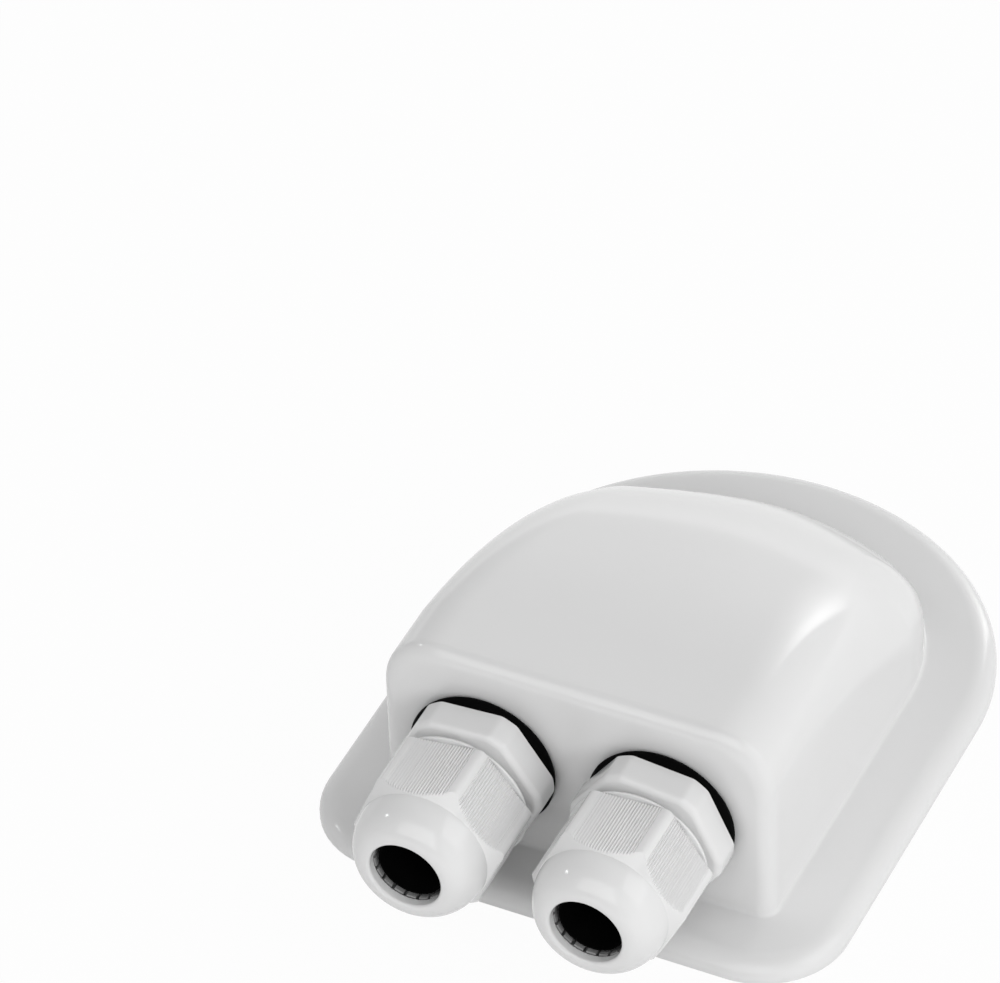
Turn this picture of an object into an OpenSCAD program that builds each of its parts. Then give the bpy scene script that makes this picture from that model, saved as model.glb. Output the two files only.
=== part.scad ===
// Roof entry box for two solar cables: a D-shaped flange with a hollow hood that is open below,
// and two clamping glands in the hood's front wall.
// The flange lies on the roof plane z = 0, and the glands point to -Y.

/* [Hood] */
// Width of the hood
hood_w = 73.8; // [70:0.2:90]
// Length of the straight side walls
hood_side_l = 61.9; // [40:0.1:90]
// Length of the elliptical rear arch
hood_arch_l = 34.9; // [28:0.1:50]
// Height of the hood's crest above the roof
hood_h = 43.6; // [41:0.2:60]
// Wall thickness of the hood
hood_wall = 2.8; // [1.6:0.2:4]
// Length of the level stretch of the crest
crest_l = 14.5; // [6:0.5:30]
// Shoulder radius at the front
shoulder_r = 11.2; // [4:0.1:14]
// Shoulder radius that the rear gains
shoulder_gain = 13.2; // [0:0.1:16]
// Height of the crown across the rear
crown_h = 14; // [0:0.5:18]
// Radius of the edge round the front wall
front_edge_r = 2.8; // [1:0.1:5]

/* [Flange] */
// Flange left on each side of the hood
side_margin = 13.1; // [8:0.1:25]
// Flange left in front of the hood
front_margin = 12.7; // [8:0.1:25]
// Flange left behind the hood
rear_margin = 13.1; // [8:0.1:25]
// Thickness of the flange
flange_t = 3.8; // [2.6:0.2:6]
// Radius of the two front corners, seen from above
flange_corner_r = 16; // [7:1:28]
// Width of the rounded rim, seen from above
rim_w = 4.2; // [1:0.2:6]
// Height of the upright band at the foot of the rim
rim_foot = 0.6; // [0.2:0.1:1.5]

/* [Glands] */
// Half the distance between the two gland axes
gland_x = 16.95; // [16.5:0.05:18]
// Height of the gland axes above the roof
gland_z = 22.6; // [20:0.1:25]
// Radius of the shank that passes through the wall
shank_r = 10; // [8:0.1:11]
// Length of the shank behind the hood wall
shank_l = 6.4; // [5.6:0.1:12]
// Radius of the cable passage through the gland body
passage_r = 6.8; // [5:0.1:7.2]
// Width across the flats of the hexagon on the body
hex_af = 26.4; // [24:0.1:28]
// Thickness of that hexagon
hex_t = 6; // [4:0.1:10]
// Height of the bevel at the hexagon's front
hex_bevel = 1.2; // [0.4:0.1:2]
// Radius that trims the hexagon's corners
hex_trim_r = 14.4; // [13:0.1:15.5]
// Turn of the left hexagon from level
left_hex_turn = 4; // [-30:1:30]
// Turn of the right hexagon from level
right_hex_turn = -6; // [-30:1:30]

/* [Dome nuts] */
// Width across the flats of the dome nut
nut_af = 25.4; // [24.6:0.1:28]
// Radius that trims the nut's corners
nut_trim_r = 14.45; // [13.5:0.05:15]
// Length of the dome nut
nut_l = 21.9; // [20:0.1:26]
// Gap between the hexagon and the dome nut when the nut is tight
nut_gap = 2.1; // [1:0.1:5]
// Radius of the round collar at the nut's rear
collar_r = 13.2; // [12.8:0.1:14.5]
// Length of that collar
collar_l = 0.5; // [0.3:0.05:1]
// Length of the groove between the collar and the hexagon
groove_l = 0.45; // [0.2:0.05:1]
// Radius of that groove
groove_r = 12.2; // [11.6:0.1:12.3]
// Length of the dome
dome_l = 7.4; // [6:0.1:9]
// Radius of the dome where it leaves the hexagon
dome_r = 12.25; // [11.6:0.05:12.4]
// Length of the bevel from the trimmed corners to the dome
corner_bevel_l = 2.4; // [1.6:0.1:4.4]
// Radius of the nut's mouth
mouth_r = 6.7; // [6.2:0.1:8]
// Thickness of the lip round the mouth
lip_t = 1.8; // [1:0.1:2.4]
// Ribs on each flat
rib_count = 21; // [9:2:21]
// Distance from rib to rib
rib_pitch = 0.56; // [0.4:0.02:0.8]
// Height of the ribs
rib_h = 0.3; // [0.1:0.02:0.4]
// Turn of the left nut from level
left_nut_turn = 8; // [-30:1:30]
// Turn of the right nut from level
right_nut_turn = 3; // [-30:1:30]

/* [Clamping parts] */
// Radius of the body's outer thread
cap_thread_r = 9.6; // [9.4:0.1:10]
// Length of the body's outer thread
cap_thread_l = 10.6; // [9:0.1:12]
// Radius of the claw's skirt, which slides in the body
skirt_r = 8.4; // [7.9:0.1:8.6]
// Length of that skirt
skirt_l = 9; // [7.6:0.1:9.4]
// Wall thickness of the skirt
skirt_wall = 1; // [0.7:0.1:1.2]
// Fingers on the claw
finger_count = 18; // [8:1:24]
// Width of the slots between the fingers
slot_w = 0.6; // [0.4:0.1:1]
// Wall thickness of a finger at its tip
finger_wall = 1.3; // [0.8:0.1:1.5]
// Radius of the hole through the seal
seal_bore_r = 5.9; // [4:0.1:6]

/* [Gasket and locknut] */
// Radius of the gasket, out to its rounded edge
gasket_r = 13.8; // [12.6:0.1:15]
// Thickness of the gasket
gasket_t = 2.8; // [0.8:0.1:4]
// Width across the flats of the locknut
locknut_af = 26; // [24:0.5:28]
// Thickness of the locknut
locknut_t = 5; // [3:0.1:5.4]

/* [Clearances] */
// Radial room of the shank in the wall
wall_room = 0.25; // [0.1:0.05:0.5]
// Radial room of the gasket and the locknut on the shank
shank_room = 0.05; // [0.02:0.01:0.15]
// Radial room of the dome nut on its thread, and of the claw in the body
thread_room = 0.06; // [0.03:0.01:0.1]
// Room between the fingers and the dome nut
finger_room = 0.4; // [0.3:0.05:0.6]
// Room between the seal and the claw
seal_room = 0.1; // [0.05:0.05:0.2]

/* [Hidden] */

white_abs = [0.90, 0.90, 0.89];
white_nylon = [0.86, 0.86, 0.85];
grey_nylon = [0.70, 0.70, 0.69];
black_rubber = [0.06, 0.06, 0.06];

// How far cutting shapes run past what they cut
cut = 1;

// Stations along a gland, measured outwards from the hood's front wall
hex_start = gasket_t;
hex_end = hex_start + hex_t;
thread_end = hex_end + cap_thread_l;
nut_start = hex_end + nut_gap;
nut_end = nut_start + nut_l;
dome_start = nut_end - dome_l;
lip_start = nut_end - lip_t;
finger_end = lip_start - finger_room;
skirt_start = thread_end - skirt_l;
shank_end = -hood_wall - shank_l;

// Places along Y, with the part's box centred on the origin
reach = max(nut_end, front_margin);
part_l = reach + hood_side_l + hood_arch_l + rear_margin;
front_y = reach - part_l / 2;
arch_y = front_y + hood_side_l;
flange_front_y = front_y - front_margin;
flange_half_w = hood_w / 2 + side_margin;
flange_arch_l = hood_arch_l + rear_margin;

// Powers that shape the falling crest
fall_power = 2.18;
fall_round = 1.157;
// The rear wall leans, so its inner face steps in by more than the wall
rear_lean = 1.4;
// Shares of a section's height and width that the crown and the shoulder may take up
crown_share = 0.7;
crown_in_shoulder = 0.8;
shoulder_height_share = 0.95;
// Shoulder radius that is left at least on the inner face
shoulder_least_r = 2;
shoulder_width_share = 0.8;

// Points in the curves
rim_steps = 6;
corner_steps = 8;
arch_steps = 44;
edge_steps = 5;
level_steps = 3;
fall_steps = 22;
tip_steps = 7;
shoulder_steps = 9;
crown_steps = 4;
dome_steps = 16;
gasket_steps = 8;
// Share of the falling stretch that the finer steps at the rear tip take up, and where they end
tip_share = 0.12;
tip_end = 0.004;

function pythag_leg(hypotenuse, leg) = sqrt(max(0, pow(hypotenuse, 2) - pow(leg, 2)));

// Outline of the flange seen from above, drawn in by a distance
function flange_outline(inset) =
    let (
        half_w = flange_half_w - inset,
        arch_l = flange_arch_l - inset,
        corner = flange_corner_r - inset,
        corner_x = flange_half_w - flange_corner_r,
        corner_y = flange_front_y + flange_corner_r
    )
    concat(
        [for (i = [0 : corner_steps]) let (a = -90 + 90 * i / corner_steps)
            [corner_x + corner * cos(a), corner_y + corner * sin(a)]],
        [for (i = [0 : arch_steps]) let (a = 180 * i / arch_steps)
            [half_w * cos(a), arch_y + arch_l * sin(a)]],
        [for (i = [0 : corner_steps]) let (a = 180 + 90 * i / corner_steps)
            [-corner_x + corner * cos(a), corner_y + corner * sin(a)]]
    );

// Faces of a closed loft through rings of equal length, each anticlockwise seen from the last one
function loft_faces(rings, count) = concat(
    [[for (i = [0 : count - 1]) i]],
    [for (k = [0 : rings - 2]) for (i = [0 : count - 1])
        let (j = (i + 1) % count, low = k * count, high = low + count)
        each [[low + i, high + j, low + j], [low + i, high + i, high + j]]],
    [[for (i = [0 : count - 1]) rings * count - 1 - i]]
);

module loft(rings) {
    polyhedron(
        points = [for (ring = rings) each ring],
        faces = loft_faces(len(rings), len(rings[0])),
        convexity = 4
    );
}

// Flange with a rounded rim: outlines stacked from the roof up
module flange_plate() {
    rise = flange_t - rim_foot;
    rim = [for (i = [0 : rim_steps]) let (a = 90 * i / rim_steps)
        [rim_w * (1 - cos(a)), rim_foot + rise * sin(a)]];
    loft([for (level = concat([[0, 0]], rim))
        [for (point = flange_outline(level[0])) [point[0], point[1], level[1]]]]);
}

// The hood's sizes at a place along Y, for a surface that lies in by a distance
function hood_start(inset) = front_y + inset;
function hood_end(inset) = arch_y + hood_arch_l - rear_lean * inset;
function fall_at(y, inset) =
    let (start = front_y + crest_l)
    min(1, max(0, y - start) / (hood_end(inset) - start));
function height_at(y, inset) =
    (hood_h - flange_t - inset)
    * pow(max(0, 1 - pow(fall_at(y, inset), fall_power)), 1 / fall_round);
function half_width_at(y, inset) =
    let (along = min(1, max(0, y - arch_y) / (hood_end(inset) - arch_y)))
    (hood_w / 2 - inset) * pythag_leg(1, along);
function edge_inset(y, inset) =
    let (
        r = max(front_edge_r - inset, front_edge_r / 4),
        left = r - min(r, y - hood_start(inset))
    )
    r - pythag_leg(r, left);

// Right half of a section: a straight wall, the shoulder's arc and half the crown
function half_section(y, inset, foot_z) =
    let (
        edge = edge_inset(y, inset),
        w = half_width_at(y, inset) - edge,
        t = height_at(y, inset) - edge,
        fall = fall_at(y, inset),
        crown = min(crown_h * pow(fall, 2), crown_share * t),
        wanted_r = max(shoulder_r - inset, shoulder_least_r) + shoulder_gain * fall,
        room_z = shoulder_height_share * (t - crown_in_shoulder * crown),
        r = min(wanted_r, room_z, shoulder_width_share * w),
        end_a = 90 - atan(2 * crown * (w - r) / pow(w, 2)),
        end_x = w - r + r * cos(end_a),
        end_z = t - crown * pow(end_x / w, 2)
    )
    concat(
        [[w, foot_z]],
        [for (i = [0 : shoulder_steps]) let (a = end_a * i / shoulder_steps)
            [w - r + r * cos(a), flange_t + end_z + r * (sin(a) - sin(end_a))]],
        [for (i = [1 : crown_steps]) let (x = end_x * (1 - i / crown_steps))
            [x, flange_t + t - crown * pow(x / w, 2)]]
    );
function section_ring(y, inset, foot_z) =
    let (half = half_section(y, inset, foot_z), last = len(half) - 1)
    concat(
        [for (i = [0 : last]) [-half[i][0], y, half[i][1]]],
        [for (i = [1 : last]) [half[last - i][0], y, half[last - i][1]]]
    );

// Places of the sections: fine at the front edge and at the rear tip
function section_places(inset) =
    let (
        start = hood_start(inset),
        end = hood_end(inset),
        edge_end = start + max(front_edge_r - inset, front_edge_r / 4),
        level_end = front_y + crest_l,
        fall_l = end - level_end,
        tip = end - tip_share * fall_l
    )
    concat(
        [for (i = [0 : edge_steps]) start + (edge_end - start) * (1 - cos(90 * i / edge_steps))],
        [for (i = [1 : level_steps]) edge_end + (level_end - edge_end) * i / level_steps],
        [for (i = [1 : fall_steps]) level_end + (tip - level_end) * i / fall_steps],
        [for (i = [1 : tip_steps]) let (u = 1 - i / tip_steps)
            end - fall_l * (tip_end + (tip_share - tip_end) * pow(u, 2))]
    );

module hood_form(inset, foot_z) {
    loft([for (y = section_places(inset)) section_ring(y, inset, foot_z)]);
}

// Puts what is drawn along +Z on a gland axis, pointing out of the front wall
module on_gland(side) {
    translate([side * gland_x, front_y, gland_z])
        rotate([90, 0, 0])
            children();
}

module rod(from, to, r) {
    translate([0, 0, from])
        cylinder(h = to - from, r = r, $fn = 96);
}

module hexagon(from, to, af) {
    translate([0, 0, from])
        cylinder(h = to - from, r = af / 2 / cos(30), $fn = 6);
}

module housing() {
    color(white_abs)
        difference() {
            union() {
                flange_plate();
                hood_form(0, flange_t / 2);
            }
            hood_form(hood_wall, -cut);
            for (side = [-1, 1])
                on_gland(side)
                    rod(-hood_wall - front_edge_r, cut, shank_r + wall_room);
        }
}

// Six-sided cone whose flats slope at 45 degrees and stand at half of af at a station
module bevel_cone(from, to, station, af) {
    translate([0, 0, from])
        cylinder(
            h = to - from,
            r1 = (af / 2 + station - from) / cos(30),
            r2 = (af / 2 + station - to) / cos(30),
            $fn = 6
        );
}

module gland_body(side, turn) {
    color(white_nylon)
        on_gland(side)
            difference() {
                union() {
                    intersection() {
                        rotate([0, 0, turn])
                            hexagon(hex_start, hex_end, hex_af);
                        rotate([0, 0, turn])
                            bevel_cone(hex_start - cut, hex_end + cut, hex_end - hex_bevel, hex_af);
                        rod(hex_start, hex_end, hex_trim_r);
                    }
                    rod(shank_end, hex_start + cut, shank_r);
                    rod(hex_end - cut, thread_end, cap_thread_r);
                }
                rod(shank_end - cut, thread_end + cut, passage_r);
                rod(skirt_start - thread_room, thread_end + cut, skirt_r + thread_room);
            }
}

// Outline of the nut's hexagon, with a row of ribs along each flat
function ribbed_outline() =
    let (
        flat_r = nut_af / 2,
        corner_r = flat_r / cos(30)
    )
    [for (k = [0 : 5]) each let (a = 60 * k) concat(
        [for (i = [0 : 2 * rib_count]) let (
                across = (i - rib_count) * rib_pitch / 2,
                out = flat_r - (i % 2 == 0 ? rib_h : 0)
            )
            [out * cos(a) - across * sin(a), out * sin(a) + across * cos(a)]],
        [[corner_r * cos(a + 30), corner_r * sin(a + 30)]]
    )];

// Outer profile of the dome nut: collar, groove, trimmed corners, their bevel and the dome
function nut_profile() =
    let (
        collar_end = nut_start + collar_l,
        groove_end = collar_end + groove_l,
        nose_r = mouth_r + lip_t / 3
    )
    concat(
        [[0, nut_start], [collar_r, nut_start], [collar_r, collar_end]],
        [[groove_r, collar_end], [groove_r, groove_end]],
        [[nut_trim_r, groove_end], [nut_trim_r, dome_start - corner_bevel_l]],
        [for (i = [0 : dome_steps]) let (a = 90 * i / dome_steps)
            [nose_r + (dome_r - nose_r) * cos(a), dome_start + dome_l * sin(a)]],
        [[0, nut_end]]
    );

// Hollow of the dome nut: thread, taper that closes the fingers, and mouth
function nut_hollow() =
    let (
        bore_r = cap_thread_r + thread_room,
        taper_end_r = mouth_r + finger_wall + finger_room
    )
    [
        [0, nut_start - cut],
        [bore_r, nut_start - cut],
        [bore_r, thread_end + finger_room],
        [taper_end_r, lip_start],
        [mouth_r, lip_start],
        [mouth_r, nut_end - lip_t / 3],
        [mouth_r + lip_t / 3, nut_end + cut],
        [0, nut_end + cut]
    ];

module dome_nut(side, turn) {
    color(white_nylon)
        on_gland(side)
            difference() {
                intersection() {
                    union() {
                        rod(nut_start, nut_start + collar_l, collar_r);
                        rotate([0, 0, turn + 30])
                            translate([0, 0, nut_start])
                                linear_extrude(height = nut_l)
                                    polygon(ribbed_outline());
                    }
                    rotate_extrude($fn = 96)
                        polygon(nut_profile());
                }
                rotate_extrude($fn = 96)
                    polygon(nut_hollow());
            }
}

// Section of the claw: a skirt in the body, a shoulder on its mouth, and tapering fingers
function claw_section() =
    let (
        root_r = cap_thread_r + thread_room - finger_room,
        tip_r = mouth_r + finger_wall
    )
    [
        [skirt_r - skirt_wall, skirt_start],
        [skirt_r, skirt_start],
        [skirt_r, thread_end],
        [root_r, thread_end],
        [root_r, thread_end + finger_room],
        [tip_r, finger_end],
        [mouth_r, finger_end],
        [skirt_r - skirt_wall, thread_end]
    ];

module claw(side) {
    slot_start = thread_end + finger_room;
    color(grey_nylon)
        on_gland(side)
            difference() {
                rotate_extrude($fn = 96)
                    polygon(claw_section());
                for (i = [0 : finger_count - 1])
                    rotate([0, 0, 360 * i / finger_count])
                        translate([seal_bore_r, -slot_w / 2, slot_start])
                            cube([cap_thread_r, slot_w, finger_end - slot_start + cut]);
            }
}

module seal(side) {
    seal_r = skirt_r - skirt_wall - seal_room;
    tip_r = mouth_r - seal_room;
    color(black_rubber)
        on_gland(side)
            rotate_extrude($fn = 96)
                polygon([
                    [seal_bore_r, skirt_start],
                    [seal_r, skirt_start],
                    [seal_r, thread_end - seal_room],
                    [tip_r, finger_end - finger_room],
                    [seal_bore_r, finger_end - finger_room]
                ]);
}

// Flat washer whose outer edge bulges in a half circle
module gasket(side) {
    edge_r = gasket_t / 2;
    hole_r = shank_r + shank_room;
    bulge = [for (i = [0 : gasket_steps]) let (a = 180 * i / gasket_steps - 90)
        [gasket_r - edge_r + edge_r * cos(a), edge_r + edge_r * sin(a)]];
    color(black_rubber)
        on_gland(side)
            rotate_extrude($fn = 96)
                polygon(concat([[hole_r, 0]], bulge, [[hole_r, gasket_t]]));
}

module locknut(side) {
    color(white_nylon)
        on_gland(side)
            difference() {
                hexagon(-hood_wall - locknut_t, -hood_wall, locknut_af);
                rod(-hood_wall - locknut_t - cut, cut - hood_wall, shank_r + shank_room);
            }
}

housing();
gland_body(-1, left_hex_turn);  // left_gland_body
gland_body(1, right_hex_turn);  // right_gland_body
dome_nut(-1, left_nut_turn);  // left_dome_nut
dome_nut(1, right_nut_turn);  // right_dome_nut
claw(-1);  // left_claw
claw(1);  // right_claw
seal(-1);  // left_seal
seal(1);  // right_seal
gasket(-1);  // left_gasket
gasket(1);  // right_gasket
locknut(-1);  // left_locknut
locknut(1);  // right_locknut
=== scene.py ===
"""Roof entry box for two solar cables: its surfaces, finishes and studio, built round the packed frame."""

import math

import bmesh
import bpy
import numpy as np
from bpy.props import FloatProperty, FloatVectorProperty, IntProperty, PointerProperty
from mathutils import Matrix, Vector


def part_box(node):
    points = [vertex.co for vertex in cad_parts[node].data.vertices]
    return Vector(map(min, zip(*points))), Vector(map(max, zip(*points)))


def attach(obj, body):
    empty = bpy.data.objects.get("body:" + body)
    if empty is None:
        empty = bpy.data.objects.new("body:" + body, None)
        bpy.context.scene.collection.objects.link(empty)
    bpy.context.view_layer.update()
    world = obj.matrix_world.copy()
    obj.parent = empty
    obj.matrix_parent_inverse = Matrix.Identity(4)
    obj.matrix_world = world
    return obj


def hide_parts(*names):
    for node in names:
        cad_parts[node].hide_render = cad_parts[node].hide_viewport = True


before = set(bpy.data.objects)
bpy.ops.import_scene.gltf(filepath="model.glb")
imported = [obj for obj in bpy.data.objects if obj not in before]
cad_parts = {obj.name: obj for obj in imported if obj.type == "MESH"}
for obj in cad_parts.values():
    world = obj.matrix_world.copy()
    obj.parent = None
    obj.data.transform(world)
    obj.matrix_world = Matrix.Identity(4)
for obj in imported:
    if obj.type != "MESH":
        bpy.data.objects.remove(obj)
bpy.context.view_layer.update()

bl_info = {
    "name": "Roof cable entry box",
    "version": (1, 0, 0),
    "blender": (4, 5, 0),
    "location": "View3D > Sidebar > Roof entry",
    "description": "Builds a white roof box with a pair of cable glands, with its finishes and a studio",
    "category": "Object",
}

MM = 0.001
SIDES = {"left": -1.0, "right": 1.0}
WELD = 2e-7
SHARP_ANGLE = math.radians(38)


# Places read from the frame

def stations(node):
    """Where a gland's node starts and ends along its axis, measured outwards from the hood's front wall."""
    low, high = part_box(node)
    return FRONT_Y - high.y, FRONT_Y - low.y


HOUSING_LOW, HOUSING_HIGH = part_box("housing")
GASKET_LOW, GASKET_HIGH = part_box("right_gasket")
FRONT_Y = GASKET_HIGH.y
GLAND_X = (GASKET_LOW.x + GASKET_HIGH.x) / 2
GLAND_Z = (GASKET_LOW.z + GASKET_HIGH.z) / 2
GASKET_R = (GASKET_HIGH.z - GASKET_LOW.z) / 2
GASKET_T = stations("right_gasket")[1]
SHANK_END, THREAD_END = stations("right_gland_body")
NUT_START, NUT_END = stations("right_dome_nut")
SKIRT_START, FINGER_END = stations("right_claw")
SEAL_START, SEAL_END = stations("right_seal")
LOCKNUT_START, LOCKNUT_END = stations("right_locknut")
HOOD_WALL = -LOCKNUT_END


# Properties that a user would change

def length(name, description, default):
    """A length in metres for the panel, given in millimetres."""
    return FloatProperty(
        name=name, description=description, default=default * MM, min=0.0, precision=5, unit="LENGTH"
    )


def angle(name, description, default):
    """An angle for the panel, given in degrees."""
    return FloatProperty(
        name=name, description=description, default=math.radians(default), subtype="ANGLE"
    )


def share(name, description, default):
    """A number from 0 to 1."""
    return FloatProperty(
        name=name, description=description, default=default, min=0.0, max=1.0, subtype="FACTOR"
    )


def level(name, description, default):
    """A brightness, where 1 shows as white."""
    return FloatProperty(name=name, description=description, default=default, min=0.0, max=10.0)


def colour(name, description, default):
    """A plain colour."""
    return FloatVectorProperty(
        name=name, description=description, default=default, size=3, min=0.0, max=1.0, subtype="COLOR"
    )


class HousingSizes(bpy.types.PropertyGroup):
    """Sizes of the hood and its flange"""

    hood_width: length("Hood width", "Width of the hood across its side walls", 73.8)
    side_length: length("Side length", "Length of the straight side walls", 61.9)
    arch_length: length("Arch length", "Length of the elliptical rear arch", 34.9)
    crest_length: length("Crest length", "Level stretch of the crest behind the front wall", 14.5)
    shoulder_radius: length("Shoulder radius", "Radius of the shoulders at the front", 11.2)
    shoulder_gain: length("Shoulder gain", "Radius that the shoulders gain to the rear", 13.2)
    crown_height: length("Crown height", "Height of the crown across the rear", 14.0)
    front_edge: length("Front edge", "Radius of the edge round the front wall", 2.8)
    foot_fillet: length("Foot fillet", "Hollow fillet where the hood meets the flange", 0.7)
    flange_thickness: length("Flange thickness", "Thickness of the flange", 3.8)
    flange_corner: length("Flange corner", "Radius of the two front corners of the flange", 16.0)
    rim_width: length("Rim width", "Width of the rounded rim, seen from above", 4.2)
    rim_foot: length("Rim foot", "Upright band at the foot of the rim", 0.6)


class GlandSizes(bpy.types.PropertyGroup):
    """Sizes of the gland bodies, gaskets and locknuts"""

    hex_width: length("Hexagon width", "Width of the body's hexagon across its flats", 26.4)
    hex_length: length("Hexagon length", "Thickness of the body's hexagon", 6.0)
    hex_corner: length("Corner radius", "Radius that trims the hexagon's corners", 14.4)
    hex_edge: length("Front edge", "Radius of the hexagon's soft front edge", 1.3)
    shank_radius: length("Shank radius", "Radius of the threaded shank in the wall", 10.0)
    neck_radius: length("Neck radius", "Radius of the thread that the dome nut runs on", 9.6)
    passage_radius: length("Passage radius", "Radius of the cable passage", 6.8)
    socket_radius: length("Socket radius", "Radius of the socket that the claw slides in", 8.46)
    thread_pitch: length("Thread pitch", "Advance of the threads in one turn", 1.5)
    thread_depth: length("Thread depth", "Depth of the thread grooves", 0.62)
    wall_room: length("Wall room", "Radial room of the shank in the wall", 0.25)
    locknut_width: length("Locknut width", "Width of the locknut across its flats", 26.0)
    left_turn: angle("Left turn", "Turn of the left hexagon from level", 4.0)
    right_turn: angle("Right turn", "Turn of the right hexagon from level", -6.0)


class NutSizes(bpy.types.PropertyGroup):
    """Sizes of the dome nuts"""

    width: length("Nut width", "Width of the nut across its flats", 25.4)
    corner: length("Corner radius", "Radius that trims the nut's corners", 14.45)
    collar_radius: length("Collar radius", "Radius of the round collar at the rear", 13.2)
    collar_length: length("Collar length", "Length of that collar", 0.5)
    groove_radius: length("Groove radius", "Radius of the groove behind the hexagon", 12.2)
    groove_length: length("Groove length", "Length of that groove", 0.45)
    dome_radius: length("Dome radius", "Radius of the dome where it leaves the hexagon", 12.25)
    dome_length: length("Dome length", "Length of the dome", 7.4)
    bevel_length: length("Bevel length", "Length of the bevel from the corners to the dome", 2.4)
    mouth_radius: length("Mouth radius", "Radius of the mouth", 6.7)
    lip: length("Lip", "Thickness of the lip round the mouth", 1.8)
    bore_radius: length("Bore radius", "Radius of the bore that runs on the neck's thread", 9.66)
    throat_radius: length("Throat radius", "Radius of the taper behind the lip", 8.4)
    rib_count: IntProperty(name="Ribs", description="Ribs on each flat", default=21, min=3)
    rib_pitch: length("Rib pitch", "Distance from rib to rib", 0.56)
    rib_height: length("Rib height", "Height of the ribs", 0.3)
    left_turn: angle("Left turn", "Turn of the left nut from level", 8.0)
    right_turn: angle("Right turn", "Turn of the right nut from level", 3.0)


class ClampSizes(bpy.types.PropertyGroup):
    """Sizes of the claws and seals"""

    skirt_radius: length("Skirt radius", "Radius of the claw's skirt", 8.4)
    skirt_wall: length("Skirt wall", "Wall thickness of the skirt", 1.0)
    root_radius: length("Root radius", "Radius of the fingers at their roots", 9.26)
    root_length: length("Root length", "Length of the ring that carries the fingers", 0.4)
    finger_wall: length("Finger wall", "Wall thickness of a finger at its tip", 1.3)
    finger_count: IntProperty(name="Fingers", description="Fingers on a claw", default=18, min=4)
    slot_width: length("Slot width", "Width of the slots between the fingers", 0.6)
    seal_bore: length("Seal bore", "Radius of the hole through the seal", 5.9)
    seal_room: length("Seal room", "Room between the seal and the claw", 0.1)
    seal_bevel: length("Seal bevel", "Length of the bevel at the seal's outer end", 2.4)


class Finishes(bpy.types.PropertyGroup):
    """Colours and gloss of the finishes"""

    abs_colour: colour("Housing white", "Colour of the moulded housing", (0.80, 0.80, 0.80))
    abs_gloss: share("Housing roughness", "Roughness of the housing's gloss", 0.14)
    nylon_colour: colour("Nylon white", "Colour of the gland mouldings", (0.81, 0.81, 0.81))
    nylon_gloss: share("Nylon roughness", "Roughness of the gland bodies and claws", 0.14)
    dome_gloss: share("Dome roughness", "Roughness of the polished dome nuts", 0.07)
    # The claws' grey is painted shade: white nylon darkened to stand in for the shade on the fingers deep in
    # the mouth.
    claw_colour: colour("Claw grey", "Colour of the claws", (0.28, 0.28, 0.28))
    rubber_colour: colour("Rubber black", "Colour of the gaskets and seals", (0.0015, 0.0015, 0.0015))
    rubber_gloss: share("Rubber roughness", "Roughness of the rubber", 0.7)


class StudioSettings(bpy.types.PropertyGroup):
    """Camera, lamps and surround"""

    camera_place: FloatVectorProperty(
        name="Camera place", description="Where the camera stands",
        default=(0.39959, -0.86623, 0.90496), size=3, unit="LENGTH",
    )
    camera_aim: FloatVectorProperty(
        name="Camera aim", description="Point at the middle of the picture",
        default=(-0.04536, 0.02746, 0.02), size=3, unit="LENGTH",
    )
    camera_roll: angle("Camera roll", "Turn of the camera about its line of sight", -1.9558)
    lens: FloatProperty(
        name="Lens", description="Focal length in millimetres on a 36 mm sensor", default=265.25, min=20.0
    )
    at_right: level("Light at the right", "Level of the surround at the right", 0.8)
    behind: level("Light behind", "Level of the surround behind the hood", 0.98)
    at_left: level("Light at the left", "Level of the surround at the left", 0.74)
    window: level("Window", "Level that the window behind adds", 3.4)
    floor_gloss: level("Floor in reflections", "Level of the near floor where gloss shows it", 0.85)
    floor_behind: level("Floor behind", "Level of the floor behind the object where gloss shows it", 1.35)
    floor_size: length("Floor size", "Width of the floor", 8000.0)


# Mesh helpers

def placed(name, data):
    """A new object in the scene."""
    made = bpy.data.objects.new(name, data)
    bpy.context.scene.collection.objects.link(made)
    return made


def grid_faces(rows, columns, closed):
    """Quads of a grid whose points run row by row: each joins a point to the next in its row and to the
    two beside them in the next row. A closed grid joins the last column to the first."""
    last = columns if closed else columns - 1
    row, column = np.meshgrid(np.arange(rows - 1), np.arange(last), indexing="ij")
    after = (column + 1) % columns
    corners = (row * columns + column, row * columns + after,
               (row + 1) * columns + after, (row + 1) * columns + column)
    return np.stack(corners, axis=-1).reshape(-1, 4)


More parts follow.
